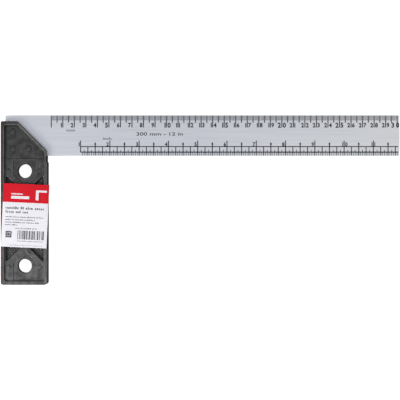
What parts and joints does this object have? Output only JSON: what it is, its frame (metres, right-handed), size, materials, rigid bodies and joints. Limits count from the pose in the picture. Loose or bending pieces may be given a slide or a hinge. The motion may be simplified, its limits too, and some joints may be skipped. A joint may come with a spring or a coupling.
{
  "type": "try square",
  "caption": "Fixed try-and-mitre square: a graduated steel rule riveted at a right angle into a moulded black stock with a 45 degree head.",
  "frame": {"origin": "the square's inner corner: the plane of the stock's working face, the blade's inner edge, and the mid-plane of the thickness", "axes": "+X along the blade towards its free end, +Y across the blade from its inner edge to its outer edge, +Z out of the front face, the one with the label"},
  "size_m": [0.345, 0.1467, 0.0141],
  "materials": {
    "stock_plastic": "fine moulded texture, slight sheen",
    "blade_steel": "brushed along its length, printed graduations",
    "rivet_steel": "blackened",
    "label_paper": "glossy printed sticker, red band over white",
    "scale_ink": "black printed graduations and numerals on the blade",
    "label_print": null
  },
  "bodies": {
    "root": {"stock_front_shell": "stock_plastic", "stock_back_shell": "stock_plastic", "blade": "blade_steel", "blade_rivet_1": "rivet_steel", "blade_rivet_2": "rivet_steel", "blade_rivet_3": "rivet_steel", "stock_pin_1": "stock_plastic", "stock_pin_2": "stock_plastic", "stock_pin_3": "stock_plastic", "stock_pin_4": "stock_plastic", "product_label": "label_paper"}
  },
  "joints": []
}
